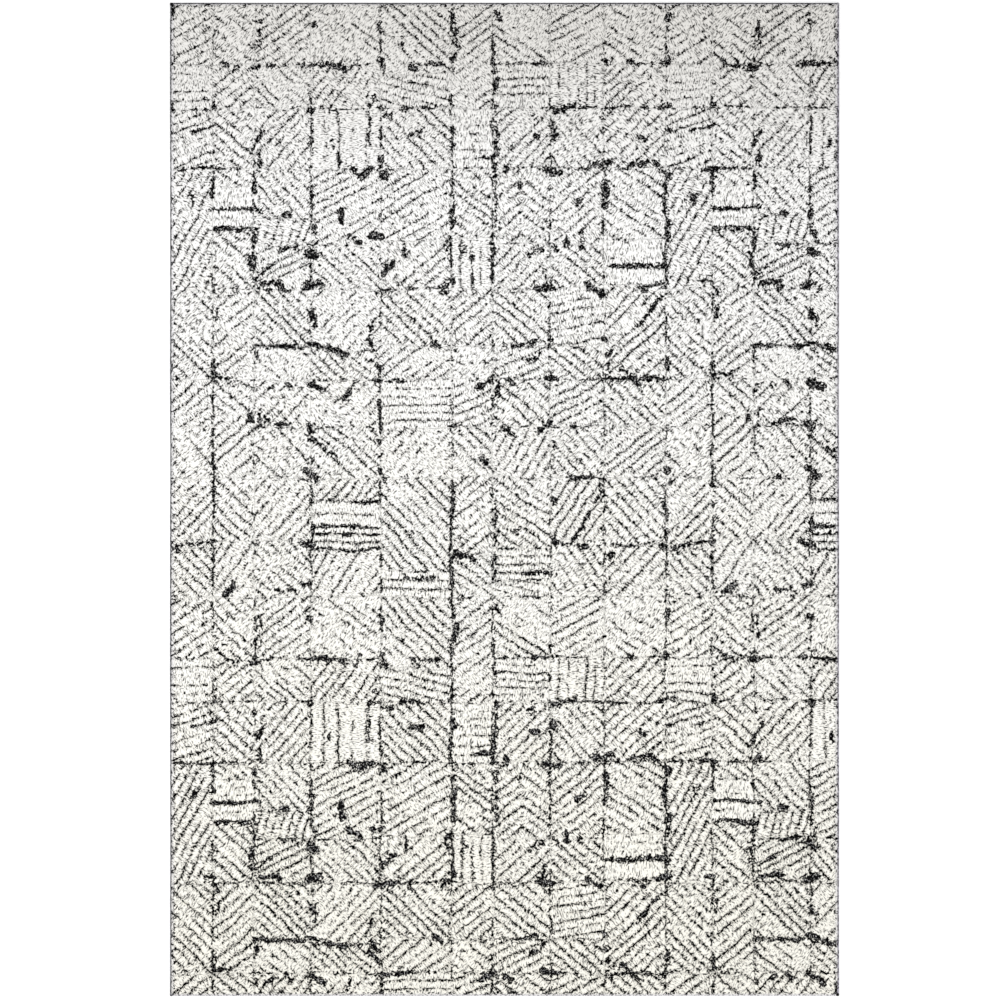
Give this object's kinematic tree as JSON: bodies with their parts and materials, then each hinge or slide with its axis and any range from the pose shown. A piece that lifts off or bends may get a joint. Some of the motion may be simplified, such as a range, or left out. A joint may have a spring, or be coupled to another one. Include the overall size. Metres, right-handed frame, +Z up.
{
  "type": "area rug",
  "caption": "Rectangular high-and-low pile area rug with carved ridged blocks, overcast edges and a cloth backing, lying flat.",
  "frame": {"origin": "on the floor, under the middle of the rug", "axes": "+X across the rug to the right as seen from above with the head end up, +Y along the rug towards the head end, +Z up out of the pile"},
  "size_m": [1.6, 2.375, 0.017],
  "materials": {
    "cream_yarn": "matt heat-set pile yarn, cut and carved",
    "charcoal_yarn": "matt heat-set pile yarn, short",
    "grey_yarn": "matt overcasting yarn",
    "jute_weave": "plain-woven jute and cotton ground",
    "latex": "matt dried latex",
    "backing_cloth": "open plain-woven backing cloth",
    "filler_cord": "twisted filler cord"
  },
  "bodies": {
    "root": {"secondary_backing": "backing_cloth", "latex_coat": "latex", "ground_weave": "jute_weave", "ground_pile": "charcoal_yarn", "pile_column_01": "cream_yarn", "pile_column_02": "cream_yarn", "pile_column_03": "cream_yarn", "pile_column_04": "cream_yarn", "pile_column_05": "cream_yarn", "pile_column_06": "cream_yarn", "pile_column_07": "cream_yarn", "pile_column_08": "cream_yarn", "pile_column_09": "cream_yarn", "pile_column_10": "cream_yarn", "pile_column_11": "cream_yarn", "pile_column_12": "cream_yarn", "pile_column_13": "cream_yarn", "overcast_left": "grey_yarn", "overcast_right": "grey_yarn", "overcast_head": "grey_yarn", "overcast_foot": "grey_yarn", "filler_cord_left": "filler_cord", "filler_cord_right": "filler_cord", "filler_cord_head": "filler_cord", "filler_cord_foot": "filler_cord", "corner_tack_head_left": "grey_yarn", "corner_tack_head_right": "grey_yarn", "corner_tack_foot_left": "grey_yarn", "corner_tack_foot_right": "grey_yarn"}
  },
  "joints": []
}
